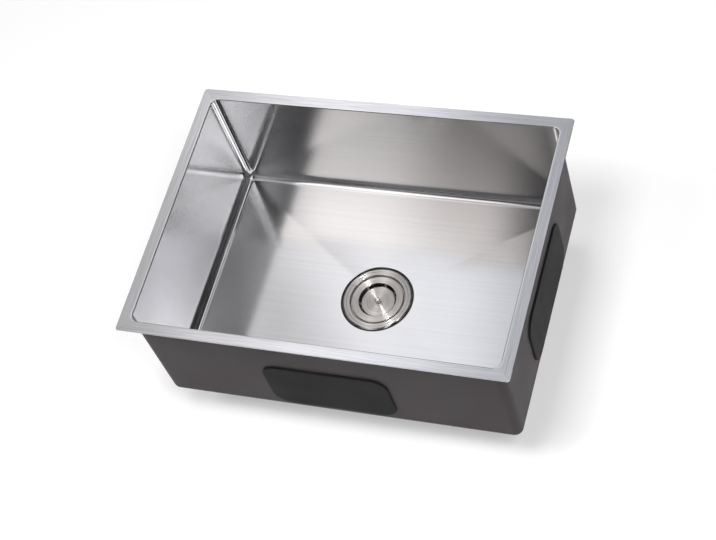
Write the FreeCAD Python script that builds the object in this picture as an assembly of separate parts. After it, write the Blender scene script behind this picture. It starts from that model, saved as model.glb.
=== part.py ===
"""Undermount kitchen sink: one folded stainless bowl with a flat rim, sound pads stuck on its
outside, and a basket strainer clamped in the drain hole.

Frame, in millimetres: +Z is up, +X runs along the long side, +Y goes from the front to the back.
The origin is the middle of the bowl's mouth, on the plane of the rim's top face, which is the
plane that meets the underside of the worktop.
"""
import FreeCAD
import Part
import math
import os

Vector = FreeCAD.Vector

# ---- bowl, folded from sheet ----
RIM_LENGTH = 600.0          # rim's outer size along X
RIM_BREADTH = 445.0         # rim's outer size along Y
RIM_BORDER = 18.5           # width of the flat rim round the mouth
RIM_CORNER = 5.0            # rounding of the rim's outer corners
BOWL_DEPTH = 215.0          # rim's top face to the underside of the floor, beside the walls
SHEET = 1.5                 # thickness of the bowl's sheet
BEND = 12.0                 # inner radius of the upright corners and of the floor's edges
LIP_ROUND = 1.3             # rounding where the rim turns down into the walls
FLOOR_FALL = 5.0            # how far the four floor facets fall to their meeting point
RECESS_DEPTH = 2.5          # pressed step round the drain hole, below the floor
RECESS_MARGIN = 2.5         # free ring between the strainer's flange and the recess wall
HOLE_MARGIN = 0.7           # free ring between the strainer's neck and the drain hole

# ---- sound pads, stuck on by hand ----
PAD_LENGTH = 198.0
PAD_BREADTH = 108.0
PAD_THICKNESS = 3.0
PAD_CORNER = 26.0           # rounding of the pad's outline
PAD_EDGE = 0.8              # rounding of the pad's outer edge
PAD_DROP = 86.5             # rim's top face to the top edge of a wall pad
FRONT_PAD_SHIFT = -2.0      # how far off centre the front pad is stuck
RIGHT_PAD_SHIFT = 5.0       # how far off centre the right pad is stuck
FLOOR_PAD_INSET = 14.0      # floor pad's outer edge, in from where the floor's bend starts

# ---- strainer body, a drawn cup with a flange ----
FLANGE_RADIUS = 56.0
FLANGE_CROWN = 1.9          # height of the flange's raised outer ring
FLANGE_RING = 5.0           # width of that ring
FLANGE_DISH = 0.9           # height at the outer side of the sloping inner ring
FLANGE_GASKET = 1.2         # thickness of the gasket under the flange
NECK_RADIUS = 44.3          # outside of the neck that goes through the bowl
CUP_SHEET = 1.2             # thickness of the body's wall
LEDGE_DEPTH = 4.0           # flange's underside to the ledge that carries the basket
LEDGE_WIDTH = 1.8
CUP_DEPTH = 46.0            # flange's underside to the stopper's seat
CUP_SLOPE = 4.0             # fall of the cup's conical bottom
SEAT_RADIUS = 26.0          # outside of the flat seat
OUTLET_BORE = 20.5
OUTLET_RADIUS = 23.9        # crest of the outlet's thread
OUTLET_LENGTH = 26.0        # seat to the outlet's end
THREAD_HEIGHT = 0.6
THREAD_PITCH = 2.5
OUTLET_THREAD_LENGTH = 17.5

# ---- clamping ring under the bowl ----
UNDER_GASKET = 3.0          # thickness of the rubber gasket
FRICTION_RING = 1.2         # thickness of the fibre ring
CLAMP_RADIUS = 57.0         # outside of the rubber gasket
CLAMP_STEP = 1.0            # each lower ring is this much smaller in radius
LOCK_NUT_HEIGHT = 14.0
LOCK_NUT_FLANGE = 3.0
LOCK_NUT_WALL = 4.5
LUG_COUNT = 6
LUG_BREADTH = 8.0
THREAD_CLEARANCE = 0.3      # radial gap between a thread's crest and its nut

# ---- outlet coupling ----
COUPLING_BORE = 19.6        # hole for the waste pipe
COUPLING_LIP = 3.0
COUPLING_WALL = 4.0
COUPLING_HEIGHT = 22.0
COUPLING_RIBS = 16
RIB_RADIUS = 1.6
WASHER_THICKNESS = 3.5
WASHER_CLEARANCE = 0.2      # free ring round the waste pipe and inside the nut

# ---- basket ----
BASKET_CLEARANCE = 0.4      # radial gap between the basket's rim and the neck
SEAT_GAP = 0.3              # gap left under what rests loosely
BASKET_SHEET = 0.8
BASKET_TOP_DROP = 0.1       # basket's rim, below the flange's underside plane
BASKET_DISH_RADIUS = 30.6   # inner edge of the sloping ring
BASKET_DISH_FALL = 0.6      # fall of the sloping ring
BASKET_WALL_HEIGHT = 6.2    # sloping ring's inner edge to the basket's floor
BASKET_FLOOR_RADIUS = 26.6
SLOT_COUNT = 6
SLOT_ANGLE = 54.0           # degrees that one slot spans
SLOT_TURN = 48.0            # degrees from +X to the middle of the first slot
SLOT_MARGIN = 0.9           # wall left above and below a slot
KNOB_RADIUS = 4.4
KNOB_NECK = 2.9
KNOB_HEIGHT = 7.0
KNOB_HEAD = 3.4             # height of the knob's rounded head
KNOB_FOOT_RADIUS = 5.2
KNOB_FOOT = 1.0
STEM_RADIUS = 2.0
STEM_COLLAR_RADIUS = 5.0
STEM_COLLAR = 2.0
STEM_GRIP = 4.0             # how far the stem goes up into the knob
STEM_TAIL = 6.0             # stem below the guide bush
STOPPER_RADIUS = 24.5
STOPPER_THICKNESS = 4.0
STOPPER_WASHER_RADIUS = 9.0
STOPPER_WASHER = 1.2

# ---- crossbar and guide bush in the outlet ----
CROSSBAR_DROP = 6.0         # seat to the crossbar's top
CROSSBAR_BREADTH = 6.0
CROSSBAR_THICKNESS = 2.5
HUB_RADIUS = 6.5
HUB_HEIGHT = 6.0
BUSH_RADIUS = 4.0
BUSH_FLANGE_RADIUS = 6.0
BUSH_FLANGE = 1.0
RUNNING_CLEARANCE = 0.05    # radial, between a turning or sliding piece and its bore

# ---- places that follow from the sizes above ----
MOUTH_X = RIM_LENGTH / 2 - RIM_BORDER       # half the mouth, along X
MOUTH_Y = RIM_BREADTH / 2 - RIM_BORDER      # half the mouth, along Y
FLAT_X = MOUTH_X - BEND                     # half the floor between its bends
FLAT_Y = MOUTH_Y - BEND
FLOOR_Z = SHEET - BOWL_DEPTH                # floor's upper face beside the walls
RECESS_RADIUS = FLANGE_RADIUS + RECESS_MARGIN
RECESS_Z = FLOOR_Z - FLOOR_FALL * (1 - RECESS_RADIUS / FLAT_Y) - RECESS_DEPTH
HOLE_RADIUS = NECK_RADIUS + HOLE_MARGIN
FLANGE_Z = RECESS_Z + FLANGE_GASKET         # flange's underside
NECK_BORE = NECK_RADIUS - CUP_SHEET
LEDGE_Z = FLANGE_Z - LEDGE_DEPTH
CUP_BORE = NECK_BORE - LEDGE_WIDTH
CUP_RADIUS = CUP_BORE + CUP_SHEET           # root of the body's thread
SEAT_Z = FLANGE_Z - CUP_DEPTH
OUTLET_Z = SEAT_Z - OUTLET_LENGTH
CLAMP_Z = RECESS_Z - SHEET                  # underside of the bowl at the drain hole
NUT_Z = CLAMP_Z - UNDER_GASKET - FRICTION_RING
BASKET_RADIUS = NECK_BORE - BASKET_CLEARANCE
BASKET_TOP_Z = FLANGE_Z - BASKET_TOP_DROP
BASKET_DISH_Z = BASKET_TOP_Z - BASKET_DISH_FALL
BASKET_FLOOR_Z = BASKET_DISH_Z - BASKET_WALL_HEIGHT
CROSSBAR_Z = SEAT_Z - CROSSBAR_DROP
HUB_BORE = BUSH_RADIUS + RUNNING_CLEARANCE
COUPLING_RADIUS = OUTLET_RADIUS + THREAD_CLEARANCE + COUPLING_WALL


def solid_of(shape):
    """The shape's one solid, with coplanar scraps joined."""
    solids = shape.removeSplitter().Solids
    assert len(solids) == 1, "expected one solid and got %d" % len(solids)
    return solids[0]


def rounded_outline(corners):
    """A closed wire in the XZ plane through (radius, height, rounding) corners."""
    edges = []
    first = last = None
    for here, before, after in zip(corners, corners[-1:] + corners[:-1], corners[1:] + corners[:1]):
        point = Vector(here[0], 0, here[1])
        back = (Vector(before[0], 0, before[1]) - point).normalize()
        ahead = (Vector(after[0], 0, after[1]) - point).normalize()
        entry = leave = point
        if here[2]:
            half = back.getAngle(ahead) / 2
            entry = point + back * (here[2] / math.tan(half))
            leave = point + ahead * (here[2] / math.tan(half))
            middle = point + (back + ahead).normalize() * (here[2] / math.sin(half) - here[2])
        if last is not None:
            edges.append(Part.LineSegment(last, entry).toShape())
        if here[2]:
            edges.append(Part.Arc(entry, middle, leave).toShape())
        first = first or entry
        last = leave
    edges.append(Part.LineSegment(last, first).toShape())
    return Part.Wire(edges)


def turned(corners):
    """A solid of revolution about Z from (radius, height, rounding) corners."""
    face = Part.Face(rounded_outline(corners))
    return face.revolve(Vector(0, 0, 0), Vector(0, 0, 1), 360)


def ring(bore, radius, low, high, rounding=0.0):
    return turned([(bore, low, 0), (radius, low, rounding), (radius, high, rounding), (bore, high, 0)])


def disc(radius, low, high):
    return Part.makeCylinder(radius, high - low, Vector(0, 0, low))


def box(half_x, half_y, low, high):
    return Part.makeBox(2 * half_x, 2 * half_y, high - low, Vector(-half_x, -half_y, low))


def upright_edges(shape):
    return [e for e in shape.Edges if abs(e.tangentAt(e.FirstParameter).z) > 0.99]


def edges_at(shape, height):
    return [e for e in shape.Edges if abs(e.BoundBox.ZMin - height) + abs(e.BoundBox.ZMax - height) < 1e-6]


def tub(half_x, half_y, low, high, rounding):
    """A box with its upright edges and its lower edges rounded alike."""
    block = box(half_x, half_y, low, high)
    return block.makeFillet(rounding, upright_edges(block) + edges_at(block, low))


def falling_floor(low_by, base):
    """The shallow upside-down pyramid that the four floor facets enclose, below height base."""
    corners = [Vector(x * FLAT_X, y * FLAT_Y, base) for x, y in ((-1, -1), (1, -1), (1, 1), (-1, 1))]
    apex = Vector(0, 0, base - low_by)
    faces = [Part.Face(Part.makePolygon(corners + corners[:1]))]
    for start, end in zip(corners, corners[1:] + corners[:1]):
        faces.append(Part.Face(Part.makePolygon([start, end, apex, start])))
    return Part.Solid(Part.Shell(faces))


def make_bowl():
    """One sheet: flat rim, four walls, a floor that falls to the drain along four creases."""
    hollow = tub(MOUTH_X, MOUTH_Y, FLOOR_Z, BEND, BEND)
    hollow = hollow.fuse([falling_floor(FLOOR_FALL, FLOOR_Z), disc(RECESS_RADIUS, RECESS_Z, FLOOR_Z)])
    skin = tub(MOUTH_X + SHEET, MOUTH_Y + SHEET, FLOOR_Z - SHEET, 0, BEND + SHEET)
    skin = skin.fuse([falling_floor(FLOOR_FALL, FLOOR_Z - SHEET),
                      disc(RECESS_RADIUS + SHEET, RECESS_Z - SHEET, FLOOR_Z - SHEET)])
    rim = box(RIM_LENGTH / 2, RIM_BREADTH / 2, -SHEET, 0)
    rim = rim.makeFillet(RIM_CORNER, upright_edges(rim))
    bowl = skin.fuse(rim).cut(hollow).cut(disc(HOLE_RADIUS, RECESS_Z - 2 * SHEET, RECESS_Z + SHEET))
    bowl = solid_of(bowl)
    lip = [e for e in edges_at(bowl, 0)
           if e.BoundBox.XMax <= MOUTH_X + 1e-6 and e.BoundBox.XMin >= -MOUTH_X - 1e-6
           and e.BoundBox.YMax <= MOUTH_Y + 1e-6 and e.BoundBox.YMin >= -MOUTH_Y - 1e-6]
    return bowl.makeFillet(min(LIP_ROUND, 0.95 * SHEET), lip)


def make_pad():
    """A pad lying on the XY plane, its long side along X and its sticky face down."""
    pad = box(PAD_LENGTH / 2, PAD_BREADTH / 2, 0, PAD_THICKNESS)
    pad = pad.makeFillet(PAD_CORNER, upright_edges(pad))
    return pad.makeFillet(PAD_EDGE, edges_at(pad, PAD_THICKNESS))


def wall_pad(turn, distance, shift):
    """A pad stuck on a wall. turn is the wall's direction about Z, with the front wall at 0."""
    pad = make_pad()
    pad.rotate(Vector(0, 0, 0), Vector(1, 0, 0), 90)
    pad.translate(Vector(shift, -distance, -PAD_DROP - PAD_BREADTH / 2))
    pad.rotate(Vector(0, 0, 0), Vector(0, 0, 1), turn)
    return pad


def floor_pad(side):
    """A pad stuck under the sloping facet at the left (-1) or right (+1) end of the floor."""
    slope = math.atan2(FLOOR_FALL, FLAT_X)
    pad = make_pad()
    pad.rotate(Vector(0, 0, 0), Vector(0, 0, 1), 90)
    pad.rotate(Vector(0, 0, 0), Vector(1, 0, 0), 180)
    pad.translate(Vector(-FLOOR_PAD_INSET - PAD_BREADTH / 2, 0, 0))
    pad.rotate(Vector(0, 0, 0), Vector(0, 1, 0), -math.degrees(slope))
    pad.translate(Vector(FLAT_X, 0, FLOOR_Z - SHEET))
    if side < 0:
        pad.rotate(Vector(0, 0, 0), Vector(0, 0, 1), 180)
    return pad


def thread_corners(crest, low, high):
    """Corners of a rolled thread's outline, bottom up, drawn as plain rings under the crest."""
    root = crest - THREAD_HEIGHT
    corners = []
    for turn in range(int((high - low) / THREAD_PITCH)):
        base = low + turn * THREAD_PITCH
        corners += [(root, base + 0.2 * THREAD_PITCH, 0), (crest, base + 0.45 * THREAD_PITCH, 0),
                    (crest, base + 0.6 * THREAD_PITCH, 0), (root, base + 0.85 * THREAD_PITCH, 0)]
    return corners


def make_strainer_body():
    """Drawn cup: flange, neck with a ledge for the basket, conical bottom and threaded outlet."""
    crest = CUP_RADIUS + THREAD_HEIGHT
    outlet_root = OUTLET_RADIUS - THREAD_HEIGHT
    thread_low = NUT_Z - LOCK_NUT_HEIGHT - THREAD_PITCH
    under_ledge = LEDGE_Z - CUP_SHEET
    inside = [
        (FLANGE_RADIUS, FLANGE_Z, 0),
        (FLANGE_RADIUS, FLANGE_Z + FLANGE_CROWN, 1.3),
        (FLANGE_RADIUS - FLANGE_RING, FLANGE_Z + FLANGE_CROWN, 0.5),
        (FLANGE_RADIUS - FLANGE_RING - 1.2, FLANGE_Z + FLANGE_DISH, 0.5),
        (NECK_BORE, FLANGE_Z + FLANGE_DISH / 3, 1.1),
        (NECK_BORE, LEDGE_Z, 0.3),
        (CUP_BORE, LEDGE_Z, 0.8),
        (CUP_BORE, SEAT_Z + CUP_SLOPE, 3.0),
        (SEAT_RADIUS, SEAT_Z, 1.0),
        (OUTLET_BORE, SEAT_Z, 0.6),
        (OUTLET_BORE, OUTLET_Z, 0),
    ]
    outside = [(outlet_root, OUTLET_Z, 0)]
    outside += thread_corners(OUTLET_RADIUS, OUTLET_Z, OUTLET_Z + OUTLET_THREAD_LENGTH)
    outside += [
        (outlet_root, SEAT_Z - CUP_SHEET, 0.8),
        (SEAT_RADIUS + 0.2, SEAT_Z - CUP_SHEET, 1.0),
        (CUP_RADIUS, SEAT_Z + CUP_SLOPE - CUP_SHEET, 3.0),
    ]
    outside += thread_corners(crest, thread_low, under_ledge)
    outside += [
        (CUP_RADIUS, under_ledge, 0.4),
        (NECK_RADIUS, under_ledge, 0.5),
        (NECK_RADIUS, FLANGE_Z, 0.6),
    ]
    return turned(inside + outside)


def make_lock_nut():
    """Clamping nut: a threaded ring with a flange and lugs to turn it by."""
    bore = CUP_RADIUS + THREAD_HEIGHT + THREAD_CLEARANCE
    outer = CLAMP_RADIUS - 2 * CLAMP_STEP
    low = NUT_Z - LOCK_NUT_HEIGHT
    nut = turned([(bore, low, 0), (bore + LOCK_NUT_WALL, low, 0.8),
                  (bore + LOCK_NUT_WALL, NUT_Z - LOCK_NUT_FLANGE, 1.0),
                  (outer, NUT_Z - LOCK_NUT_FLANGE, 0.8), (outer, NUT_Z, 0.4), (bore, NUT_Z, 0)])
    reach = outer - bore - LOCK_NUT_WALL / 2
    lugs = []
    for number in range(LUG_COUNT):
        lug = Part.makeBox(reach, LUG_BREADTH, LOCK_NUT_HEIGHT - LOCK_NUT_FLANGE / 2,
                           Vector(outer - reach - 0.6, -LUG_BREADTH / 2, low))
        lug = lug.makeFillet(0.8, [e for e in upright_edges(lug) if e.BoundBox.XMin > outer - 1.2])
        lug.rotate(Vector(0, 0, 0), Vector(0, 0, 1), 360.0 * number / LUG_COUNT)
        lugs.append(lug)
    return solid_of(nut.fuse(lugs))


def make_coupling_nut():
    """Nut that clamps a waste pipe to the outlet, with grip ribs round its outside."""
    low = OUTLET_Z - WASHER_THICKNESS - COUPLING_LIP
    bore = OUTLET_RADIUS + THREAD_CLEARANCE
    nut = turned([(COUPLING_BORE, low, 0), (COUPLING_RADIUS, low, 1.5),
                  (COUPLING_RADIUS, low + COUPLING_HEIGHT, 0.8), (bore, low + COUPLING_HEIGHT, 0.4),
                  (bore, low + COUPLING_LIP, 0), (COUPLING_BORE, low + COUPLING_LIP, 0)])
    ribs = []
    for number in range(COUPLING_RIBS):
        angle = 2 * math.pi * number / COUPLING_RIBS
        reach = COUPLING_RADIUS - 0.4
        ribs.append(Part.makeCylinder(RIB_RADIUS, COUPLING_HEIGHT - 4.0,
                                      Vector(reach * math.cos(angle), reach * math.sin(angle), low + 2.0)))
    return solid_of(nut.fuse(ribs))


def make_basket_shell():
    """Pressed basket: turned-down rim, sloping ring, slotted wall and flat floor."""
    shell = turned([
        (0, BASKET_FLOOR_Z, 0),
        (BASKET_FLOOR_RADIUS, BASKET_FLOOR_Z, 0.6),
        (BASKET_DISH_RADIUS, BASKET_DISH_Z, 0.6),
        (BASKET_RADIUS, BASKET_TOP_Z, 0.9),
        (BASKET_RADIUS, LEDGE_Z + SEAT_GAP, 0),
        (BASKET_RADIUS - BASKET_SHEET, LEDGE_Z + SEAT_GAP, 0),
        (BASKET_RADIUS - BASKET_SHEET, BASKET_TOP_Z - 1.2 * BASKET_SHEET, 0.3),
        (BASKET_DISH_RADIUS + BASKET_SHEET, BASKET_DISH_Z - 0.9 * BASKET_SHEET, 0.8),
        (BASKET_FLOOR_RADIUS + BASKET_SHEET, BASKET_FLOOR_Z - BASKET_SHEET, 1.0),
        (0, BASKET_FLOOR_Z - BASKET_SHEET, 0),
    ])
    low = BASKET_FLOOR_Z + SLOT_MARGIN
    high = BASKET_DISH_Z - SLOT_MARGIN
    near = BASKET_FLOOR_RADIUS - BASKET_SHEET
    far = BASKET_DISH_RADIUS + 2 * BASKET_SHEET
    gate = Part.makePolygon([Vector(near, 0, low), Vector(far, 0, low), Vector(far, 0, high),
                             Vector(near, 0, high), Vector(near, 0, low)])
    slots = []
    for number in range(SLOT_COUNT):
        slot = Part.Face(gate).revolve(Vector(0, 0, 0), Vector(0, 0, 1), SLOT_ANGLE)
        start = SLOT_TURN + 360.0 * number / SLOT_COUNT - SLOT_ANGLE / 2
        slot.rotate(Vector(0, 0, 0), Vector(0, 0, 1), start)
        slots.append(slot)
    stem_hole = disc(STEM_RADIUS, BASKET_FLOOR_Z - 2 * BASKET_SHEET, BASKET_FLOOR_Z + BASKET_SHEET)
    return solid_of(shell.cut(slots + [stem_hole]))


def make_knob():
    """Turned pull knob that stands on the basket's floor, with a blind hole for the stem."""
    top = BASKET_FLOOR_Z + KNOB_HEIGHT
    knob = turned([(0, BASKET_FLOOR_Z, 0), (KNOB_FOOT_RADIUS, BASKET_FLOOR_Z, 0),
                   (KNOB_FOOT_RADIUS, BASKET_FLOOR_Z + KNOB_FOOT, 0.5),
                   (KNOB_NECK, BASKET_FLOOR_Z + KNOB_FOOT, 0.6), (KNOB_NECK, top - KNOB_HEAD, 0.6),
                   (KNOB_RADIUS, top - KNOB_HEAD, 0.8), (KNOB_RADIUS, top, 1.9), (0, top, 0)])
    return knob.cut(disc(STEM_RADIUS, BASKET_FLOOR_Z - 1, BASKET_FLOOR_Z + STEM_GRIP))


def stopper_top():
    return SEAT_Z + SEAT_GAP + STOPPER_THICKNESS


def make_stem():
    """Rod from the knob down through the floor, the stopper and the guide bush."""
    under_floor = BASKET_FLOOR_Z - BASKET_SHEET
    tail = CROSSBAR_Z - HUB_HEIGHT - STEM_TAIL
    collar_low = stopper_top() + STOPPER_WASHER
    return turned([(0, tail, 0), (STEM_RADIUS, tail, 0.6), (STEM_RADIUS, collar_low, 0),
                   (STEM_COLLAR_RADIUS, collar_low, 0.3),
                   (STEM_COLLAR_RADIUS, collar_low + STEM_COLLAR, 0.3),
                   (STEM_RADIUS + 1.0, collar_low + STEM_COLLAR, 0.3),
                   (STEM_RADIUS + 1.0, under_floor - STEM_COLLAR, 0.3),
                   (STEM_COLLAR_RADIUS, under_floor - STEM_COLLAR, 0.3),
                   (STEM_COLLAR_RADIUS, under_floor, 0),
                   (STEM_RADIUS, under_floor, 0), (STEM_RADIUS, BASKET_FLOOR_Z + STEM_GRIP, 0),
                   (0, BASKET_FLOOR_Z + STEM_GRIP, 0)])


def make_stopper():
    """Rubber disc that closes the outlet when the basket is down."""
    low = SEAT_Z + SEAT_GAP
    return turned([(STEM_RADIUS, low, 0), (STOPPER_RADIUS - 1.5, low, 0.8),
                   (STOPPER_RADIUS, low + STOPPER_THICKNESS / 2, 0.5),
                   (STOPPER_RADIUS - 3.0, stopper_top(), 1.0), (STEM_RADIUS, stopper_top(), 0)])


def make_crossbar():
    """Bar welded across the outlet, with a hub that holds the guide bush."""
    bar = box(OUTLET_BORE + 1, CROSSBAR_BREADTH / 2, CROSSBAR_Z - CROSSBAR_THICKNESS, CROSSBAR_Z)
    bar = bar.common(disc(OUTLET_BORE, CROSSBAR_Z - CROSSBAR_THICKNESS, CROSSBAR_Z))
    hub = disc(HUB_RADIUS, CROSSBAR_Z - HUB_HEIGHT, CROSSBAR_Z)
    bore = disc(HUB_BORE, CROSSBAR_Z - 2 * HUB_HEIGHT, CROSSBAR_Z + HUB_HEIGHT)
    return solid_of(bar.fuse(hub).cut(bore))


def make_guide_bush():
    """Flanged bush that turns in the hub and lets the stem slide through it."""
    bore = STEM_RADIUS + RUNNING_CLEARANCE
    low = CROSSBAR_Z - HUB_HEIGHT
    return turned([(bore, low, 0), (BUSH_RADIUS, low, 0.3),
                   (BUSH_RADIUS, CROSSBAR_Z + RUNNING_CLEARANCE, 0),
                   (BUSH_FLANGE_RADIUS, CROSSBAR_Z + RUNNING_CLEARANCE, 0),
                   (BUSH_FLANGE_RADIUS, CROSSBAR_Z + RUNNING_CLEARANCE + BUSH_FLANGE, 0.3),
                   (bore, CROSSBAR_Z + RUNNING_CLEARANCE + BUSH_FLANGE, 0)])


def make_pieces():
    """Every piece of the sink, by name."""
    neck_bore = NECK_RADIUS + THREAD_CLEARANCE
    friction_bore = CUP_RADIUS + THREAD_HEIGHT + THREAD_CLEARANCE
    gasket_low = CLAMP_Z - UNDER_GASKET
    return {
        "bowl": make_bowl(),
        "front_pad": wall_pad(0, MOUTH_Y + SHEET, FRONT_PAD_SHIFT),
        "right_pad": wall_pad(90, MOUTH_X + SHEET, RIGHT_PAD_SHIFT),
        "back_pad": wall_pad(180, MOUTH_Y + SHEET, 0),
        "left_pad": wall_pad(270, MOUTH_X + SHEET, 0),
        "floor_pad_left": floor_pad(-1),
        "floor_pad_right": floor_pad(1),
        "strainer_body": make_strainer_body(),
        "flange_gasket": ring(NECK_RADIUS + 2.0, FLANGE_RADIUS + 1.2, RECESS_Z, FLANGE_Z),
        "under_gasket": ring(neck_bore, CLAMP_RADIUS, gasket_low, CLAMP_Z, 0.5),
        "friction_ring": ring(friction_bore, CLAMP_RADIUS - CLAMP_STEP, NUT_Z, gasket_low),
        "lock_nut": make_lock_nut(),
        "coupling_washer": ring(COUPLING_BORE + WASHER_CLEARANCE,
                                OUTLET_RADIUS + THREAD_CLEARANCE - WASHER_CLEARANCE,
                                OUTLET_Z - WASHER_THICKNESS, OUTLET_Z),
        "coupling_nut": make_coupling_nut(),
        "crossbar": make_crossbar(),
        "guide_bush": make_guide_bush(),
        "basket_shell": make_basket_shell(),
        "basket_knob": make_knob(),
        "basket_stem": make_stem(),
        "stopper_washer": ring(STEM_RADIUS, STOPPER_WASHER_RADIUS, stopper_top(),
                               stopper_top() + STOPPER_WASHER, 0.3),
        "stopper_seal": make_stopper(),
    }


os.makedirs("parts", exist_ok=True)
for name, piece in make_pieces().items():
    assert piece.isValid(), name + " is not a valid shape"
    piece.exportStep(os.path.join("parts", name + ".step"))
    extent = piece.BoundBox
    print("%-16s volume %10.1f mm3  z %8.2f to %8.2f" % (name, piece.Volume, extent.ZMin, extent.ZMax))
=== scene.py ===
"""Looks of an undermount kitchen sink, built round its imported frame.

The bowl, the sound pads, the strainer's body, the basket and its knob are surfaces worked out
here, in metres, in the frame's own place. The hidden fittings keep their frame meshes and get
materials. The stage has a white floor, soft lamps, a pin lamp for the turned steel, and a dark tent
with soft boxes, which only reflections see.
"""
import math

import bmesh
import bpy
import numpy as np
from mathutils import Matrix, Vector


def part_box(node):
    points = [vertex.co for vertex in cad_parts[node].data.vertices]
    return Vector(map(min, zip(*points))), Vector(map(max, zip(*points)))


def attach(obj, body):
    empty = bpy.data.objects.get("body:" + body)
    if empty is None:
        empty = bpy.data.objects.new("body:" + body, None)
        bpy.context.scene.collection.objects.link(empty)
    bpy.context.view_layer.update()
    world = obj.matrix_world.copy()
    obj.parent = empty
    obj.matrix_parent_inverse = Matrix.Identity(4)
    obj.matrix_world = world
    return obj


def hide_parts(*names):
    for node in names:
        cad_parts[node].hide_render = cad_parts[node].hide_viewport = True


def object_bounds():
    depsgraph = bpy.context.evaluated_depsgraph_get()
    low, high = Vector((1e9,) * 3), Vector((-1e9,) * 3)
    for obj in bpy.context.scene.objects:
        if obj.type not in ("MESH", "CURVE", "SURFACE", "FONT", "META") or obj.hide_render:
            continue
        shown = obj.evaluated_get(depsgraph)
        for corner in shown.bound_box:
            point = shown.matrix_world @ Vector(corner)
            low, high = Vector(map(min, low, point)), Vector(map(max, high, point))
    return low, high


bl_info = {
    "name": "Undermount Kitchen Sink",
    "version": (1, 0, 0),
    "blender": (4, 5, 0),
    "location": "3D View > Sidebar > Sink",
    "description": "Brushed bowl, sound pads and basket strainer round the packed frame",
    "category": "Object",
}

MM = 0.001
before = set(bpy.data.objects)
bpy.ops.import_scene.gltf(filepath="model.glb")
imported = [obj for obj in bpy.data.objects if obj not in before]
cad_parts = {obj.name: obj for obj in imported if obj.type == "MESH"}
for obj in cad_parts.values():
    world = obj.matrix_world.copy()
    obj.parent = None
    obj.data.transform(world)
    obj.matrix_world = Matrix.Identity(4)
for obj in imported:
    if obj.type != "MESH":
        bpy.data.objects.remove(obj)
CAD_BOX = [list(corner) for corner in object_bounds()]
RIM_LOW, RIM_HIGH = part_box("bowl")


# ---------------------------------------------------------------- sizes and colours

def length(name, value, description):
    """A length property, given in millimetres and kept in metres."""
    return bpy.props.FloatProperty(name=name, description=description, default=value * MM,
                                   unit="LENGTH", precision=4)


def colour(name, value, description):
    """A colour property, given as linear red, green and blue."""
    return bpy.props.FloatVectorProperty(name=name, description=description, default=value,
                                         subtype="COLOR", size=3, min=0.0, max=1.0)


def factor(name, value, description, highest=1.0):
    """A share between nought and the highest value."""
    return bpy.props.FloatProperty(name=name, description=description, default=value,
                                   subtype="FACTOR", min=0.0, max=highest)


class SinkBowlSizes(bpy.types.PropertyGroup):
    rim_border: length("Rim Border", 18.5, "Width of the flat rim round the mouth")
    rim_corner: length("Rim Corner", 5.0, "Rounding of the rim's outer corners")
    rim_edge: length("Rim Edge", 0.3, "Broken edge round the rim's outside")
    sheet: length("Sheet", 1.5, "Thickness of the bowl's sheet")
    bend: length("Bend", 12.0, "Inner radius of the corners and of the floor's edges")
    lip: length("Lip", 1.8, "Rounding where the rim turns down into the walls")
    depth: length("Depth", 215.0, "Rim's top to the underside of the floor beside the walls")
    fall: length("Floor Fall", 5.0, "Fall of the four facets towards the drain")
    crease: factor("Crease Softness", 0.005, "Width of a crease, as a share of the half floor")
    recess_radius: length("Recess Radius", 58.5, "Radius of the pressed step round the drain hole")
    recess_depth: length("Recess Depth", 2.5, "Depth of that step")
    hole_radius: length("Hole Radius", 45.0, "Radius of the drain hole")


class SinkPadSizes(bpy.types.PropertyGroup):
    edge: length("Edge Rounding", 2.0, "Rounding of the pad's outer edge")
    corner: length("Corner", 26.0, "Rounding of the pad's outline")
    wobble: length("Cut Wobble", 0.35, "How far the cut edge wanders")


class SinkColours(bpy.types.PropertyGroup):
    steel: colour("Bowl Steel", (0.70, 0.70, 0.71), "Brushed sheet inside the bowl")
    rim: colour("Rim Steel", (0.74, 0.74, 0.76), "Brushed sheet on the rim")
    undercoat: colour("Undercoat", (0.048, 0.037, 0.040), "Sprayed coat outside")
    pad: colour("Sound Pad", (0.013, 0.013, 0.013), "Rubber of the sound pads")
    strainer: colour("Strainer Steel", (0.70, 0.67, 0.64), "Turned steel of the strainer")
    rubber: colour("Rubber", (0.012, 0.012, 0.013), "Gaskets and stopper")
    fibre: colour("Fibre", (0.36, 0.23, 0.12), "Friction ring")
    cast: colour("Cast Metal", (0.52, 0.52, 0.53), "Lock nut")
    plastic: colour("Plastic", (0.62, 0.62, 0.60), "Coupling nut and bush")


class SinkStageSettings(bpy.types.PropertyGroup):
    lamp_power: bpy.props.FloatProperty(name="Lamps", description="Power of all the lamps together",
                                        default=128.0, unit="POWER")
    ambient: factor("Ambient", 0.06, "Brightness of the room")
    tent: factor("Tent", 0.02, "Brightness of the dark tent in reflections")
    floor_glow: factor("Floor Glow", 0.42, "Brightness that the floor shows besides the light on it")


# ---------------------------------------------------------------- surfaces

def quads_between(rows, columns, wrap_rows=False, wrap_columns=True):
    """Corner numbers of the quads between neighbouring points of a grid, as rows x columns x 4."""
    row = np.arange(rows if wrap_rows else rows - 1)
    column = np.arange(columns if wrap_columns else columns - 1)
    row, column = np.meshgrid(row, column, indexing="ij")
    below, beside = (row + 1) % rows, (column + 1) % columns
    corners = [row * columns + column, row * columns + beside,
               below * columns + beside, below * columns + column]
    return np.stack(corners, axis=-1)


def at_corners(values, wrap_rows=False, wrap_columns=True):
    """Values of a grid at the four corners of each of its quads."""
    rows, columns = values.shape[:2]
    quads = quads_between(rows, columns, wrap_rows, wrap_columns)
    return values.reshape((rows * columns,) + values.shape[2:])[quads]


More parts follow.
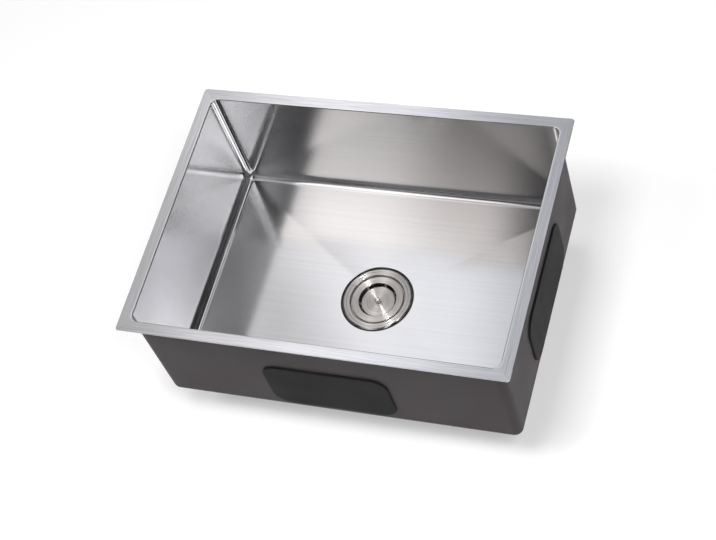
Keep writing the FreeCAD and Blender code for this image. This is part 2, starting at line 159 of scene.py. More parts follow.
def add_piece(name, body, points, quads, brush=None, face_slots=None, sharp=30.0):
    """Makes the object of a mesh, with its brush map, and lets it ride on a body."""
    mesh = bpy.data.meshes.new(name)
    mesh.from_pydata(points.reshape(-1, 3).tolist(), [], quads.reshape(-1, 4).tolist())
    if brush is not None:
        layer = mesh.uv_layers.new(name="Brush")
        layer.data.foreach_set("uv", brush.astype(np.float32).ravel())
    if face_slots is not None:
        mesh.polygons.foreach_set("material_index", face_slots.astype(np.int32).ravel())
    close = bmesh.new()
    close.from_mesh(mesh)
    bmesh.ops.remove_doubles(close, verts=close.verts, dist=1e-7)
    close.to_mesh(mesh)
    close.free()
    mesh.shade_smooth()
    mesh.set_sharp_from_angle(angle=math.radians(sharp))
    piece = bpy.data.objects.new(name, mesh)
    bpy.context.scene.collection.objects.link(piece)
    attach(piece, body)
    return piece


def rounded_path(corner_steps, long_steps, short_steps):
    """A rounded rectangle's loop, anticlockwise from above, as shares of its half sizes.

    A point is the share of the core rectangle's half sizes, plus the corner radius times the
    outward normal. Returns the shares, the normals, and each point's place round the loop in
    quarters, from which the floor works out where the point's ruling line meets a circle in the
    middle, so that corners fan out evenly about the creases.
    """
    turn = np.linspace(0, math.pi / 2, corner_steps + 1)
    long_side = np.linspace(-1, 1, long_steps + 1)[1:-1]
    short_side = np.linspace(-1, 1, short_steps + 1)[1:-1]
    core, out, share = [], [], []
    for quarter in range(4):
        side = short_side if quarter % 2 == 0 else long_side
        start = quarter * math.pi / 2
        along = np.array([-math.sin(start), math.cos(start)])
        outward = np.array([math.cos(start), math.sin(start)])
        core.append(outward + side[:, None] * along)
        out.append(np.tile(outward, (len(side), 1)))
        share.append(quarter + 0.25 * side)
        core.append(np.tile(outward + along, (len(turn), 1)))
        out.append(np.stack([np.cos(start + turn), np.sin(start + turn)], axis=1))
        share.append(quarter + 0.5 + (turn / math.pi * 2 - 0.5) * 0.5)
    return np.concatenate(core), np.concatenate(out), np.concatenate(share)


def loops(path, half_x, half_y, radius):
    """X and Y of one rounded rectangle per row: core share times core half size, plus radius."""
    core, out, _ = path
    half_x, half_y, radius = (np.reshape(v, (-1, 1)) for v in (half_x, half_y, radius))
    x = (half_x - radius) * core[:, 0] + radius * out[:, 0]
    y = (half_y - radius) * core[:, 1] + radius * out[:, 1]
    return x, y


def arc(start, end, steps):
    """Angles from start to end in degrees, as radians."""
    return np.radians(np.linspace(start, end, steps + 1))


def soft_profile(corners, steps=6, closed=True):
    """Points of an outline whose (radius, height, rounding) corners are rounded with arcs."""
    points = []
    count = len(corners)
    for number, (x, z, rounding) in enumerate(corners):
        here = np.array([x, z])
        if not rounding or (not closed and number in (0, count - 1)):
            points.append(here[None])
            continue
        back = np.array(corners[number - 1][:2]) - here
        ahead = np.array(corners[(number + 1) % count][:2]) - here
        back, ahead = back / np.linalg.norm(back), ahead / np.linalg.norm(ahead)
        half = math.acos(np.clip(back @ ahead, -1, 1)) / 2
        middle = (back + ahead) / np.linalg.norm(back + ahead)
        centre = here + middle * rounding / math.sin(half)
        first = here + back * rounding / math.tan(half) - centre
        last = here + ahead * rounding / math.tan(half) - centre
        sweep = math.pi - 2 * half
        part = np.linspace(0, 1, steps + 1)[:, None]
        points.append(centre + (np.sin((1 - part) * sweep) * first + np.sin(part * sweep) * last)
                      / math.sin(sweep))
    return np.concatenate(points)


def turned(profile, steps, phase=0.0):
    """A surface of revolution about Z: each (radius, height) goes round in equal steps."""
    angle = np.linspace(0, 2 * math.pi, steps, endpoint=False) + phase
    x = profile[:, :1] * np.cos(angle)
    y = profile[:, :1] * np.sin(angle)
    z = np.repeat(profile[:, 1:2], steps, axis=1)
    return np.stack([x, y, z], axis=-1)


def turned_brush(profile, steps, wrap_rows):
    """Brush map of a turned piece: U runs round the axis at a middle radius, V along the outline."""
    around = np.linspace(0, 2 * math.pi, steps + 1) * profile[:, 0].mean()
    ends = np.concatenate([profile, profile[:1]]) if wrap_rows else profile
    along = np.concatenate([[0], np.cumsum(np.linalg.norm(np.diff(ends, axis=0), axis=1))])
    grid = np.stack(np.meshgrid(along, around, indexing="ij")[::-1], axis=-1)
    return at_corners(grid, wrap_columns=False)


# ---------------------------------------------------------------- bowl

def rim_half_sizes():
    """Half the rim's length and half its breadth, from the frame."""
    return RIM_HIGH[0], RIM_HIGH[1]


def floor_height(sizes, x, y, lowest_by=0.0):
    """Four facets that fall to the middle: height from the larger share of the half floor."""
    half_x, half_y = rim_half_sizes()
    inset = sizes.rim_border + sizes.bend
    across, along = np.abs(x) / (half_x - inset), np.abs(y) / (half_y - inset)
    larger = (across + along + np.sqrt((across - along) ** 2 + sizes.crease ** 2)) / 2
    return sizes.sheet - sizes.depth - lowest_by - sizes.fall * (1 - np.minimum(larger, 1))


def bowl_rows(sizes, path):
    """All loops of the bowl's skin, from the rim's edge down the inside and back up the outside.

    Returns the grid of points and a region number for each row of quads.
    """
    half_x, half_y = rim_half_sizes()
    mouth_x, mouth_y = half_x - sizes.rim_border, half_y - sizes.rim_border
    lip, bend, sheet = sizes.lip, sizes.bend, sizes.sheet
    floor = sheet - sizes.depth
    tiny = 0.15 * MM
    grids, regions = [], []

    def add_loops(outset, radius, height, region):
        outset, radius, height = np.broadcast_arrays(*(np.atleast_1d(v) for v in (outset, radius, height)))
        x, y = loops(path, mouth_x + outset, mouth_y + outset, radius)
        grids.append(np.stack([x, y, np.repeat(height[:, None], x.shape[1], axis=1)], axis=-1))
        regions.extend([region] * len(height))

    def add_floor(share, from_radius, to_radius, lowest_by, region):
        x, y = loops(path, mouth_x - bend, mouth_y - bend, from_radius)
        crease = math.atan2(half_y - sizes.rim_border - bend, half_x - sizes.rim_border - bend)
        quarter = path[2] % 1
        even = np.floor(path[2]) % 2 == 0
        knee = np.where(even, 2 * crease / math.pi, 1 - 2 * crease / math.pi)
        bent = np.where(quarter < 0.5, quarter * 2 * knee, knee + (quarter - 0.5) * 2 * (1 - knee))
        angle = (np.floor(path[2]) + bent) * math.pi / 2
        share = share[:, None]
        x = (1 - share) * x + share * to_radius * np.cos(angle)
        y = (1 - share) * y + share * to_radius * np.sin(angle)
        grids.append(np.stack([x, y, floor_height(sizes, x, y, lowest_by)], axis=-1))
        regions.extend([region] * len(share))
        return angle

    def add_circles(radius, above_floor, height, angle, lowest_by, region):
        """Circles in the drain's step: a height is a place above the facets, or fixed."""
        radius = np.reshape(radius, (-1, 1))
        x, y = radius * np.cos(angle), radius * np.sin(angle)
        facets = floor_height(sizes, x, y, lowest_by)
        z = np.where(above_floor, facets + np.reshape(height, (-1, 1)), np.reshape(height, (-1, 1)) + 0 * x)
        grids.append(np.stack([x, y, z], axis=-1))
        regions.extend([region] * len(radius))

    edge = sizes.rim_edge
    flat = np.linspace(sizes.rim_border - edge, lip, 9)
    narrowing = (flat - lip) / (sizes.rim_border - lip)
    flat_radius = bend + lip + (sizes.rim_corner - bend - lip) * narrowing
    add_loops(sizes.rim_border, sizes.rim_corner, [-sheet + edge, -edge], 5)
    add_loops(flat, flat_radius, 0.0, 0)
    turn = arc(0, 90, 6)[1:]
    add_loops(lip * (1 - np.sin(turn)), bend + lip * (1 - np.sin(turn)), -lip * (1 - np.cos(turn)), 1)
    wall = np.concatenate([[-lip - 0.8 * MM], np.linspace(-lip - 8 * MM, floor + bend + 4 * MM, 26),
                           [floor + bend + 0.8 * MM]])
    add_loops(0.0, bend, wall, 1)
    turn = arc(0, 90, 18)
    add_loops(-bend * (1 - np.cos(turn)), np.maximum(bend * np.cos(turn), tiny),
              floor + bend * (1 - np.sin(turn)), 2)
    rounding = 0.8 * MM
    shares = np.concatenate([[0.004], np.linspace(0.02, 0.98, 34), [0.995, 1]])
    angle = add_floor(shares, tiny, sizes.recess_radius + rounding, 0.0, 3)
    turn = arc(0, 90, 5)[1:]
    add_circles(sizes.recess_radius + rounding * (1 - np.sin(turn)), True, -rounding * (1 - np.cos(turn)),
                angle, 0.0, 3)
    step_x = sizes.recess_radius / (mouth_y - bend)
    step = floor - sizes.fall * (1 - step_x) - sizes.recess_depth
    inner = 0.5 * MM
    turn = arc(0, 90, 4)
    add_circles(sizes.recess_radius - inner * (1 - np.cos(turn)), False, step + inner * (1 - np.sin(turn)),
                angle, 0.0, 3)
    add_circles([sizes.recess_radius - 2 * MM, sizes.hole_radius], False, [step, step], angle, 0.0, 3)
    add_circles([sizes.hole_radius, sizes.recess_radius], False, [step - sheet, step - sheet],
                angle, 0.0, 4)
    outer = sizes.recess_radius + sheet
    add_circles([outer - 0.4 * MM, outer, outer], False, [step - sheet, step - sheet + 0.4 * MM,
                                                          step + 1.2 * MM], angle, 0.0, 4)
    add_circles([outer + 0.4 * MM], True, [0.0], angle, sheet, 4)
    shares = np.concatenate([np.linspace(0.97, 0.02, 26), [0.004]])
    add_floor(shares, tiny, outer + 0.4 * MM, sheet, 4)
    turn = arc(90, 0, 14)
    add_loops(sheet - (bend + sheet) * (1 - np.cos(turn)), np.maximum((bend + sheet) * np.cos(turn), tiny),
              floor + bend - (bend + sheet) * np.sin(turn), 4)
    wall = np.concatenate([[floor + bend + 0.8 * MM], np.linspace(floor + bend + 4 * MM, -9 * MM, 16),
                           [-sheet - 1.3 * MM]])
    add_loops(sheet, bend + sheet, wall, 4)
    turn = arc(0, 90, 3)
    fillet = 0.5 * MM
    add_loops(sheet + fillet * (1 - np.cos(turn)), bend + sheet + fillet * (1 - np.cos(turn)),
              -sheet - fillet * (1 - np.sin(turn)), 5)
    under = np.linspace(sheet + 2 * MM, sizes.rim_border - edge, 5)
    under_radius = bend + (sizes.rim_corner - bend) * under / sizes.rim_border
    add_loops(under, under_radius, -sheet, 5)
    return np.concatenate(grids), np.array(regions)


def bowl_brush(points, regions, path):
    """Brush map, one U and V per quad corner.

    On the floor U runs along X. On walls and bends U runs level round the loop, and V down the
    outline. On the rim and its underside U runs along each side, so the lines meet in mitres.
    """
    spacing = np.linalg.norm(np.diff(points[10], axis=0, append=points[10][:1]), axis=1)
    around = np.concatenate([[0], np.cumsum(spacing)])
    steps = np.linalg.norm(np.diff(points, axis=0, append=points[:1]), axis=2).mean(axis=1)
    down = np.concatenate([[0], np.cumsum(steps)])
    level = at_corners(np.stack(np.meshgrid(down, around, indexing="ij")[::-1], axis=-1),
                       wrap_columns=False)
    flat = at_corners(points[..., :2], wrap_rows=True)
    long_side = (np.floor(path[2] + 0.5) % 2 == 1)
    sideways = flat[..., ::-1] + 3.0
    rim = np.where(long_side[None, :, None, None], flat, sideways)
    region = regions[:, None, None, None]
    return np.where(region == 3, flat, np.where((region == 0) | (region == 5), rim, level))


class SINK_OT_make_bowl(bpy.types.Operator):
    """Makes the bowl with its rim, creased floor and drain step"""
    bl_idname = "sink.make_bowl"
    bl_label = "Make Bowl"

    def execute(self, context):
        sizes = context.scene.sink_bowl
        path = rounded_path(16, 44, 34)
        points, regions = bowl_rows(sizes, path)
        quads = quads_between(*points.shape[:2], wrap_rows=True)
        material_of_region = np.array([2, 0, 0, 0, 1, 2])
        face_slots = np.repeat(material_of_region[regions][:, None], points.shape[1], axis=1)
        bowl = add_piece("bowl_skin", "sink", points, quads,
                         bowl_brush(points, regions, path), face_slots)
        bowl.data.materials.append(brushed_steel(context.scene.sink_colours))
        bowl.data.materials.append(undercoat(context.scene.sink_colours))
        bowl.data.materials.append(rim_steel(context.scene.sink_colours))
        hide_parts("bowl")
        return {"FINISHED"}


# ---------------------------------------------------------------- sound pads

def pad_grid(sizes, half_x, half_y, thickness, seed):
    """A pad on the XY plane: rounded loops up its edge, then loops that shrink to the middle.

    The cut edge wanders by a sum of slow waves along the loop.
    """
    path = rounded_path(10, 40, 24)
    wave = np.random.default_rng(seed)
    along = np.linspace(0, 2 * math.pi, len(path[2]), endpoint=False)
    turns = np.arange(3, 15)[:, None]
    waves = np.sin(turns * along + wave.uniform(0, 6.28, turns.shape)) * wave.uniform(0.1, 1, turns.shape)
    wobble = (waves / np.sqrt(turns)).sum(axis=0) * sizes.wobble * 0.3
    turn = arc(0, 90, 5)
    outset = np.concatenate([[0], -sizes.edge * (1 - np.cos(turn)), [-2 * MM]])
    height = np.concatenate([[0], thickness - sizes.edge * (1 - np.sin(turn)), [thickness]])
    x, y = loops(path, half_x + outset, half_y + outset, sizes.corner + outset)
    x, y = x + wobble * path[1][:, 0], y + wobble * path[1][:, 1]
    shrink = np.linspace(1, 0, 22)[1:, None]
    x, y = np.concatenate([x, x[-1] * shrink]), np.concatenate([y, y[-1] * shrink])
    z = np.concatenate([height, np.full(len(shrink), thickness)])
    return np.stack([x, y, np.repeat(z[:, None], x.shape[1], axis=1)], axis=-1)


def pad_places():
    """Name of each pad, the axis across it (0 is X, 1 is Y, 2 is Z) and the side that faces out."""
    return [("front_pad", 1, -1), ("back_pad", 1, 1), ("left_pad", 0, -1), ("right_pad", 0, 1),
            ("floor_pad_left", 2, -1), ("floor_pad_right", 2, -1)]


class SINK_OT_make_pads(bpy.types.Operator):
    """Makes the sound pads that are stuck on the bowl's outside"""
    bl_idname = "sink.make_pads"
    bl_label = "Make Sound Pads"

    def execute(self, context):
        sizes = context.scene.sink_pads
        bowl = context.scene.sink_bowl
        rubber = pad_rubber(context.scene.sink_colours)
        slope = math.atan2(bowl.fall, RIM_HIGH[0] - bowl.rim_border - bowl.bend)
        for seed, (name, axis, side) in enumerate(pad_places()):
            low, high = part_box(name)
            span = Vector(high) - Vector(low)
            middle = (Vector(high) + Vector(low)) / 2
            if axis == 2:
                thickness = min(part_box("front_pad")[1][1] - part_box("front_pad")[0][1], span.z)
                half_x, half_y = span.y / 2, (span.x - thickness * math.sin(slope)) / 2 / math.cos(slope)
                place = (Matrix.Rotation(-math.copysign(slope, middle.x), 4, "Y")
                         @ Matrix.Rotation(math.pi, 4, "X") @ Matrix.Rotation(math.pi / 2, 4, "Z"))
                base = Vector((middle.x, 0, float(floor_height(bowl, np.array(middle.x), np.array(0.0),
                                                               bowl.sheet))))
            else:
                thickness = span[axis]
                half_x, half_y = (span.x if axis else span.y) / 2, span.z / 2
                quarter = {(1, -1): 0, (0, 1): 1, (1, 1): 2, (0, -1): 3}[axis, side]
                place = (Matrix.Rotation(quarter * math.pi / 2, 4, "Z")
                         @ Matrix.Rotation(math.pi / 2, 4, "X"))
                base = middle.copy()
                base[axis] -= side * thickness / 2
            points = pad_grid(sizes, half_x, half_y, thickness, seed)
            quads = quads_between(*points.shape[:2])
            brush = at_corners(points[..., :2])
            points = points @ np.array(place.to_3x3()).T + np.array(base)
            pad = add_piece(name + "_rubber", "sink", points, quads, brush)
            pad.data.materials.append(rubber)
            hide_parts(name)
        return {"FINISHED"}


# ---------------------------------------------------------------- strainer

def flange_height():
    """Height of the flange's underside, which is the gasket's top in the frame."""
    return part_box("flange_gasket")[1][2]


# Radius where the flange's polished outer bevel ends, in millimetres.
BEVEL_FOOT = 53.8


def strainer_outline():
    """Outline of the strainer's body from under its flange, over it, down the cup and back up outside.

    Given as (radius, height, rounding) in millimetres, with heights from the flange's underside.
    """
    inside = [(56.0, 0.0, 0), (56.0, 0.2, 0.1), (BEVEL_FOOT, 1.9, 0.5), (50.4, 1.8, 0.4),
              (49.8, 1.2, 0.4), (45.4, 1.3, 0.5), (44.6, 0.9, 0.3), (43.9, -0.2, 0.3),
              (43.7, -4.0, 0.2), (41.3, -4.0, 0.8), (41.3, -42.0, 3.0), (26.0, -46.0, 1.0),
              (20.5, -46.0, 0.6), (20.5, -72.0, 0)]
    outlet = thread_rings(23.9, -72.0, 7)
    body = thread_rings(43.1, -23.4, 7)
    outside = [(23.3, -72.0, 0)] + outlet + [(23.3, -47.2, 0.8), (26.2, -47.2, 1.0), (42.5, -43.2, 3.0)]
    return inside + outside + body + [(42.5, -5.2, 0.4), (44.3, -5.2, 0.5), (44.3, 0.0, 0.6)]


def thread_rings(crest, low, turns, pitch=2.5, height=0.6):
    """Corners of a rolled thread: each turn rises to a crest and falls back to the root."""
    rings = []
    for turn in range(turns):
        base = low + turn * pitch
        rings += [(crest - height, base + 0.2 * pitch, 0.15), (crest, base + 0.45 * pitch, 0.15),
                  (crest, base + 0.6 * pitch, 0.15), (crest - height, base + 0.85 * pitch, 0.15)]
    return rings


def in_metres(profile, base):
    """An outline in millimetres as metres, lifted to its base."""
    profile = profile * MM
    profile[:, 1] += base
    return profile


class SINK_OT_make_strainer(bpy.types.Operator):
    """Makes the strainer's body with its turned flange, cup and threads"""
    bl_idname = "sink.make_strainer"
    bl_label = "Make Strainer Body"

    def execute(self, context):
        steps = 160
        profile = in_metres(soft_profile(strainer_outline(), 4), flange_height())
        points = turned(profile, steps)
        quads = quads_between(*points.shape[:2], wrap_rows=True)
        middle = (profile + np.roll(profile, -1, axis=0)) / 2
        bevel = (middle[:, 0] > BEVEL_FOOT * MM) & (middle[:, 1] > flange_height() + 0.1 * MM)
        body = add_piece("strainer_body_steel", "sink", points, quads,
                         turned_brush(profile, steps, True), np.repeat(bevel[:, None], steps, axis=1))
        body.data.materials.append(turned_steel(context.scene.sink_colours))
        body.data.materials.append(polished_steel(context.scene.sink_colours))
        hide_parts("strainer_body")
        pin_lamp_pieces().objects.link(body)
        low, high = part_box("flange_gasket")
        thick = (high[2] - low[2]) / MM
        bead = [(46.3, 0.0, 0), (57.9, 0.0, 0.1), (57.9, thick + 0.2, 0.5), (56.1, thick + 0.5, 0.3),
                (56.1, thick, 0), (46.3, thick, 0)]
        profile = in_metres(soft_profile(bead, 5), low[2])
        points = turned(profile, steps)
        gasket = add_piece("flange_gasket_bead", "sink", points,
                           quads_between(*points.shape[:2], wrap_rows=True))
        gasket.data.materials.append(black_rubber(context.scene.sink_colours))
        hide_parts("flange_gasket")
        return {"FINISHED"}


# The basket's sheet thickness and mean radius in millimetres, and its slots: how many there are, and
# the turn and half width of the first one in degrees.
BASKET_SHEET = 0.8
BASKET_MEAN_RADIUS = 30.0
SLOTS = 6
SLOT_TURN = 48
SLOT_HALF_WIDTH = 27


def in_a_slot(degree):
    """Says which turns lie in a slot: their distance from the nearest slot's middle is small."""
    pitch = 360 / SLOTS
    return np.abs((degree - SLOT_TURN + pitch / 2) % pitch - pitch / 2) < SLOT_HALF_WIDTH


def basket_outline():
    """Upper face of the basket's sheet, from the stem hole out to the skirt, in millimetres."""
    return [(2.0, -6.9, 0), (26.6, -6.9, 0.9), (30.5, -0.7, 0.7), (34.5, -0.45, 1.5), (41.5, -0.1, 0.4),
            (41.5, -3.7, 0)]


def basket_profile():
    """Rounded upper outline, with points added along it about a millimetre apart."""
    profile = soft_profile(basket_outline(), 7, closed=False)
    dense = [profile[:1]]
    for start, end in zip(profile[:-1], profile[1:]):
        pieces = max(1, int(np.linalg.norm(end - start) / 1.0))
        dense.append(start + (end - start) * np.linspace(0, 1, pieces + 1)[1:, None])
    return np.concatenate(dense)


def offset_inwards(profile, thickness):
    """The outline's other face: each point moved along the normal under the sheet."""
    along = np.gradient(profile, axis=0)
    along /= np.linalg.norm(along, axis=1)[:, None]
    return profile + thickness * np.stack([along[:, 1], -along[:, 0]], axis=1)


def sheet_with_slots(upper, lower, solid):
    """Quads of a thin turned sheet: both faces where it is solid, and a wall round each opening.

    upper and lower are grids of point numbers, and solid says which cells hold metal.
    """
    cell = np.stack([upper[1:], np.roll(upper, -1, 1)[1:], np.roll(upper, -1, 1)[:-1], upper[:-1]], -1)
    back = np.stack([lower[:-1], np.roll(lower, -1, 1)[:-1], np.roll(lower, -1, 1)[1:], lower[1:]], -1)
    faces = [cell[solid], back[solid]]
    framed = np.vstack([np.zeros((1, solid.shape[1]), bool), solid, np.zeros((1, solid.shape[1]), bool)])
    right, low_right = np.roll(upper, -1, 1), np.roll(lower, -1, 1)
    opens_in = framed[1:] & ~framed[:-1]
    opens_out = framed[:-1] & ~framed[1:]
    faces.append(np.stack([upper, lower, low_right, right], -1)[opens_in][:, ::-1])
    faces.append(np.stack([upper, right, low_right, lower], -1)[opens_out][:, ::-1])
    before = np.roll(solid, 1, 1)
    starts, ends = solid & ~before, ~solid & before
    faces.append(np.stack([upper[:-1], lower[:-1], lower[1:], upper[1:]], -1)[starts])
    faces.append(np.stack([upper[:-1], upper[1:], lower[1:], lower[:-1]], -1)[ends])
    return np.concatenate(faces)


class SINK_OT_make_basket(bpy.types.Operator):
    """Makes the basket with its slots and the knob"""
    bl_idname = "sink.make_basket"
    bl_label = "Make Basket"

    def execute(self, context):
        colours = context.scene.sink_colours
        steps = 360
        upper = basket_profile()
        lower = offset_inwards(upper, BASKET_SHEET)
        heights = (upper[:-1, 1] + upper[1:, 1]) / 2
        radii = (upper[:-1, 0] + upper[1:, 0]) / 2
        in_wall = (heights < -1.35) & (heights > -6.25) & (radii < 31)
        degree = np.arange(steps) + 0.5
        solid = ~(in_wall[:, None] & in_a_slot(degree)[None, :])
        both = [turned(in_metres(side, flange_height()), steps) for side in (upper, lower)]
        count = len(upper) * steps
        numbers = np.arange(count).reshape(len(upper), steps)
        quads = sheet_with_slots(numbers, numbers + count, solid)
        points = np.concatenate([side.reshape(-1, 3) for side in both])
        angle = np.arctan2(points[:, 1], points[:, 0])
        radius = np.hypot(points[:, 0], points[:, 1])
        around = angle[quads]
        around = np.where(around < around[:, :1] - math.pi, around + 2 * math.pi, around)
        around = np.where(around > around[:, :1] + math.pi, around - 2 * math.pi, around)
        brush = np.stack([around * BASKET_MEAN_RADIUS * MM, radius[quads] - points[:, 2][quads]], axis=-1)
        shell = add_piece("basket_shell_steel", "basket", points, quads, brush)
        shell.data.materials.append(turned_steel(colours))
        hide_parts("basket_shell")
        pin_lamp_pieces().objects.link(shell)
        outline = [(5.2, -6.9, 0), (5.2, -5.9, 0.5), (2.9, -5.9, 0.6), (2.9, -3.3, 0.6), (4.4, -3.3, 0.8),
                   (4.4, 0.1, 1.9), (0.0, 0.1, 0)]
        profile = in_metres(soft_profile(outline, 7, closed=False), flange_height())
        points = turned(profile, 64)
        knob = add_piece("basket_knob_steel", "basket", points,
                         quads_between(*points.shape[:2]), turned_brush(profile, 64, False))
        knob.data.materials.append(polished_steel(colours))
        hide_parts("basket_knob")
        pin_lamp_pieces().objects.link(knob)
        return {"FINISHED"}


# ---------------------------------------------------------------- materials

def node(tree, kind, place, **values):
    """Adds a node and sets its properties, or its inputs where a name starts with a capital."""
    made = tree.nodes.new(kind)
    made.location = place
    for name, value in values.items():
        if name[0].isupper():
            made.inputs[name.replace("_", " ")].default_value = value
        else:
            setattr(made, name, value)
    return made


def brush_lines_group():
    """Group of long fine lines along U, broad streaks along U and slow clouds: values round 0.5."""
    name = "Brush Lines"
    if name in bpy.data.node_groups:
        return bpy.data.node_groups[name]
    group = bpy.data.node_groups.new(name, "ShaderNodeTree")
    face = group.interface
    face.new_socket("Vector", in_out="INPUT", socket_type="NodeSocketVector")
    for label, value in (("Along", 18.0), ("Across", 1100.0), ("Cloud Scale", 9.0)):
        face.new_socket(label, in_out="INPUT", socket_type="NodeSocketFloat").default_value = value
    face.new_socket("Lines", in_out="OUTPUT", socket_type="NodeSocketFloat")
    face.new_socket("Streaks", in_out="OUTPUT", socket_type="NodeSocketFloat")
    face.new_socket("Clouds", in_out="OUTPUT", socket_type="NodeSocketFloat")
    inlet = node(group, "NodeGroupInput", (-700, 0))
    outlet = node(group, "NodeGroupOutput", (500, 0))
    scale = node(group, "ShaderNodeCombineXYZ", (-480, -120))
    stretch = node(group, "ShaderNodeVectorMath", (-280, 0), operation="MULTIPLY")
    coarse = node(group, "ShaderNodeTexNoise", (-60, 120), Scale=1.0, Detail=4.0, Roughness=0.62)
    broad = node(group, "ShaderNodeTexNoise", (-60, -30), Scale=0.09, Detail=3.0, Roughness=0.55)
    clouds = node(group, "ShaderNodeTexNoise", (-60, -180), Detail=3.0, Roughness=0.5)
    link = group.links.new
    link(inlet.outputs["Along"], scale.inputs[0])
    link(inlet.outputs["Across"], scale.inputs[1])
    link(inlet.outputs["Vector"], stretch.inputs[0])
    link(scale.outputs[0], stretch.inputs[1])
    link(stretch.outputs[0], coarse.inputs["Vector"])
    link(stretch.outputs[0], broad.inputs["Vector"])
    link(broad.outputs["Fac"], outlet.inputs["Streaks"])
    link(inlet.outputs["Vector"], clouds.inputs["Vector"])
    link(inlet.outputs["Cloud Scale"], clouds.inputs["Scale"])
    link(coarse.outputs["Fac"], outlet.inputs["Lines"])
    link(clouds.outputs["Fac"], outlet.inputs["Clouds"])
    return group


def spread(tree, value, low, high, place):
    """Maps a value round 0.5 to low..high."""
    ramp = node(tree, "ShaderNodeMapRange", place)
    for label, number in (("From Min", 0.3), ("From Max", 0.7), ("To Min", low), ("To Max", high)):
        ramp.inputs[label].default_value = number
    tree.links.new(value, ramp.inputs["Value"])
    return ramp.outputs["Result"]


def metal(name, base, roughness, anisotropy, along, across, rotation=0.25, bump=0.012, contrast=0.10):
    """Brushed or turned metal: fine lines along U change colour, roughness and height."""
    if name in bpy.data.materials:
        return bpy.data.materials[name]
    material = bpy.data.materials.new(name)
    material.use_nodes = True
    tree = material.node_tree
    shader = tree.nodes["Principled BSDF"]
    shader.inputs["Metallic"].default_value = 1.0
    shader.inputs["Anisotropic"].default_value = anisotropy
    shader.inputs["Anisotropic Rotation"].default_value = rotation
    maps = node(tree, "ShaderNodeUVMap", (-1100, 100), uv_map="Brush")
    lines = node(tree, "ShaderNodeGroup", (-880, 100), node_tree=brush_lines_group())
    lines.inputs["Along"].default_value = along
    lines.inputs["Across"].default_value = across
    tangent = node(tree, "ShaderNodeTangent", (-300, -300), direction_type="UV_MAP", uv_map="Brush")
    dark = [c * (1 - contrast) for c in base]
    light = [min(c * (1 + contrast * 0.5), 1) for c in base]
    tone = node(tree, "ShaderNodeMix", (-300, 260), data_type="RGBA")
    tone.inputs["A"].default_value = (*dark, 1)
    tone.inputs["B"].default_value = (*light, 1)
    height = node(tree, "ShaderNodeBump", (-300, -80), Strength=0.25, Distance=bump * MM)
    sum_up = node(tree, "ShaderNodeMath", (-480, 60), operation="ADD")
    link = tree.links.new
    grain = node(tree, "ShaderNodeMix", (-680, 420), data_type="FLOAT", Factor=0.3)
    link(maps.outputs[0], lines.inputs["Vector"])
    link(lines.outputs["Lines"], grain.inputs["A"])
    link(lines.outputs["Streaks"], grain.inputs["B"])
    link(spread(tree, grain.outputs["Result"], 0.0, 1.0, (-480, 420)), tone.inputs["Factor"])
    link(tone.outputs["Result"], shader.inputs["Base Color"])
    link(spread(tree, lines.outputs["Lines"], roughness * 0.85, roughness, (-680, 120)), sum_up.inputs[0])
    link(spread(tree, lines.outputs["Clouds"], 0.0, roughness * 0.2, (-680, -100)), sum_up.inputs[1])
    link(sum_up.outputs[0], shader.inputs["Roughness"])
    link(lines.outputs["Lines"], height.inputs["Height"])
    link(height.outputs[0], shader.inputs["Normal"])
    link(tangent.outputs[0], shader.inputs["Tangent"])
    return material


def brushed_steel(colours):
    return metal("brushed sheet steel", colours.steel, 0.14, 0.6, 4.0, 1800.0, bump=0.002, contrast=0.09)


def rim_steel(colours):
    return metal("brushed rim steel", colours.rim, 0.18, 0.7, 14.0, 700.0, bump=0.004, contrast=0.24)


def turned_steel(colours):
    return metal("turned strainer steel", colours.strainer, 0.29, 1.0, 3.0, 1500.0, contrast=0.50)


def polished_steel(colours):
    return metal("polished knob steel", colours.strainer, 0.12, 0.3, 3.0, 1800.0, contrast=0.08)


def coat_grain_group():
    """Group of a fine grain and slow mottles: values round 0.5."""
    name = "Coat Grain"
    if name in bpy.data.node_groups:
        return bpy.data.node_groups[name]
    group = bpy.data.node_groups.new(name, "ShaderNodeTree")
    face = group.interface
    face.new_socket("Vector", in_out="INPUT", socket_type="NodeSocketVector")
    for label, value in (("Grain Scale", 900.0), ("Mottle Scale", 14.0)):
        face.new_socket(label, in_out="INPUT", socket_type="NodeSocketFloat").default_value = value
    face.new_socket("Grain", in_out="OUTPUT", socket_type="NodeSocketFloat")
    face.new_socket("Mottle", in_out="OUTPUT", socket_type="NodeSocketFloat")
    inlet = node(group, "NodeGroupInput", (-400, 0))
    outlet = node(group, "NodeGroupOutput", (200, 0))
    fine = node(group, "ShaderNodeTexNoise", (-100, -160), Detail=5.0, Roughness=0.6)
    slow = node(group, "ShaderNodeTexNoise", (-100, 160), Detail=4.0, Roughness=0.55)
    link = group.links.new
    link(inlet.outputs["Vector"], fine.inputs["Vector"])
    link(inlet.outputs["Vector"], slow.inputs["Vector"])
    link(inlet.outputs["Grain Scale"], fine.inputs["Scale"])
    link(inlet.outputs["Mottle Scale"], slow.inputs["Scale"])
    link(fine.outputs["Fac"], outlet.inputs["Grain"])
    link(slow.outputs["Fac"], outlet.inputs["Mottle"])
    return group


